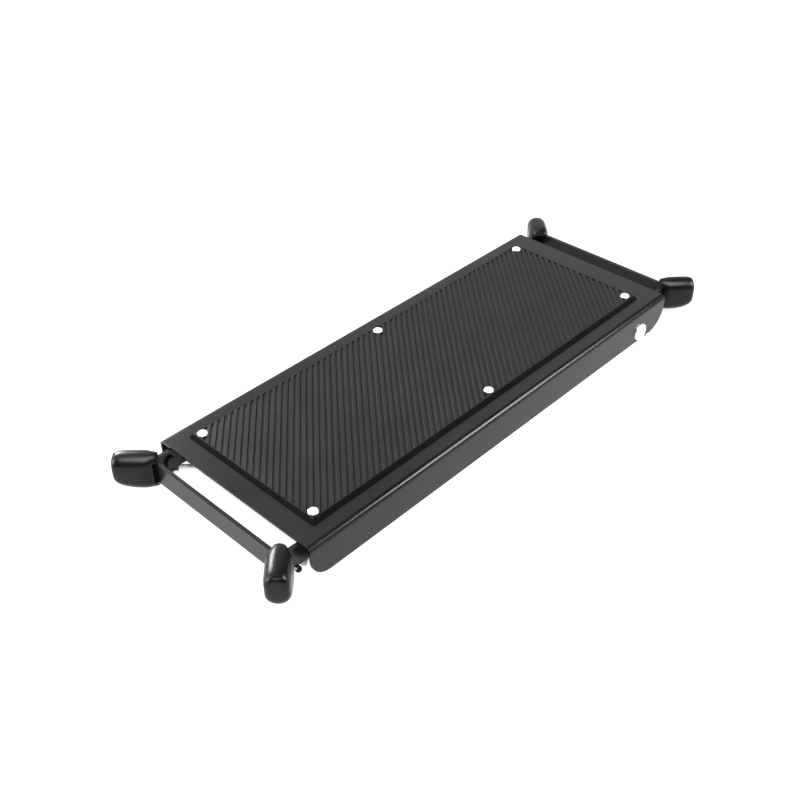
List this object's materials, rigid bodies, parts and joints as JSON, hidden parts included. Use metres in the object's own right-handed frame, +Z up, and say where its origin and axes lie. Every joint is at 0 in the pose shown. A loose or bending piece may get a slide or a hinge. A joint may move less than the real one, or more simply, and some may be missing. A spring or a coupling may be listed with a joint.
{
  "type": "folding footrest",
  "caption": "Folding footrest: folded-sheet deck with a ribbed rubber mat on crossing flat-bar legs with splayed rubber boots, tied by a wire stay, folded flat.",
  "frame": {"origin": "centre of the folded object's outline, on the floor plane under the deck's side flanges", "axes": "+X along the deck towards the end where the outer leg is hinged, +Y across the deck towards its back flange, +Z up"},
  "size_m": [0.3178, 0.119, 0.0222],
  "materials": {
    "black_paint": "satin black enamel on folded sheet and flat bar",
    "mat_rubber": "matte black moulded rubber, finely ribbed",
    "boot_rubber": "matte black moulded rubber",
    "zinc": "bright zinc plate"
  },
  "bodies": {
    "deck_body": {"deck": "black_paint", "mat": "mat_rubber", "mat_rivet_left_front": "zinc", "mat_rivet_left_back": "zinc", "mat_rivet_middle_front": "zinc", "mat_rivet_middle_back": "zinc", "mat_rivet_right_front": "zinc", "mat_rivet_right_back": "zinc", "slide_rail_front": "black_paint", "slide_rail_back": "black_paint", "hinge_rivet_front": "zinc", "hinge_rivet_back": "zinc"},
    "outer_leg_body": {"outer_leg": "black_paint", "boot_left_front": "boot_rubber", "boot_left_back": "boot_rubber", "crossing_rivet_front": "zinc", "crossing_rivet_back": "zinc", "crossing_washer_front": "zinc", "crossing_washer_back": "zinc", "stay_lug_front": "black_paint", "stay_lug_back": "black_paint"},
    "inner_leg_body": {"inner_leg": "black_paint", "slide_rod": "zinc", "boot_right_front": "boot_rubber", "boot_right_back": "boot_rubber", "rod_ring_front": "zinc", "rod_ring_back": "zinc"},
    "stay_body": {"wire_stay": "zinc"}
  },
  "joints": [
    {"name": "leg_a_hinge", "type": "hinge", "parent": "deck_body", "child": "outer_leg_body", "pos_m": [0.11058, 0, 0.0058], "axis": [0, -1, 0], "range_deg": [0, 38.5]},
    {"name": "leg_b_hinge", "type": "hinge", "parent": "outer_leg_body", "child": "inner_leg_body", "pos_m": [-0.00072, 0, 0.00847], "axis": [0, -1, 0], "range_deg": [-77, 0]},
    {"name": "stay_hinge", "type": "hinge", "parent": "outer_leg_body", "child": "stay_body", "pos_m": [-0.1352, 0, 0.0045], "axis": [0, -1, 0], "range_deg": [-38.5, 0]}
  ],
  "couplings": [
    {"joint": "leg_b_hinge", "follows": "leg_a_hinge", "ratio": -2},
    {"joint": "stay_hinge", "follows": "leg_a_hinge", "ratio": -1}
  ]
}
